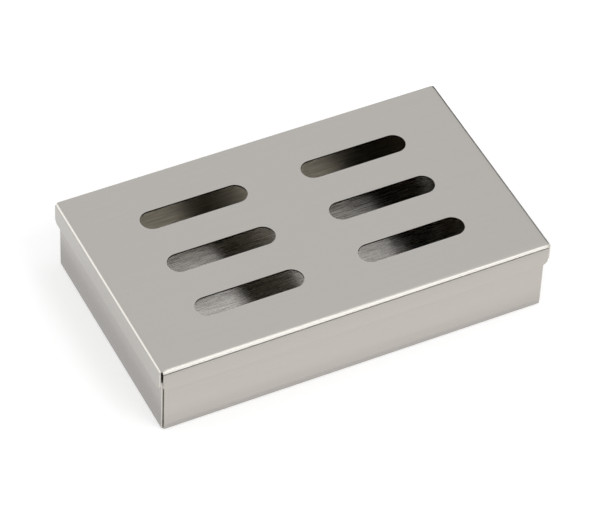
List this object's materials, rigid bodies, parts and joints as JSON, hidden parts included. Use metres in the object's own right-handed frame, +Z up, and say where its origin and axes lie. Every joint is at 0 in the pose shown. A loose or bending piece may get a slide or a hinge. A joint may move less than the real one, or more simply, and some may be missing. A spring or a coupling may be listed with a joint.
{
  "type": "smoker box",
  "caption": "Flat rectangular stainless steel smoker box: an open tray for wood chips under a loose lid with rows of long round-ended smoke slots.",
  "frame": {"origin": "middle of the tray's underside, on the surface that the box stands on", "axes": "+X along the long side, +Y along the short side towards the back, +Z up out of the open tray"},
  "size_m": [0.2, 0.12, 0.0402],
  "materials": {
    "stainless_sheet": "fine brushed stainless sheet, grain along the long side"
  },
  "bodies": {
    "tray": {"tray": "stainless_sheet"},
    "lid": {"lid": "stainless_sheet"}
  },
  "joints": [
    {"name": "lid_lift", "type": "slide", "parent": "tray", "child": "lid", "axis": [0, 0, 1], "range_m": [0, 0.06]}
  ]
}
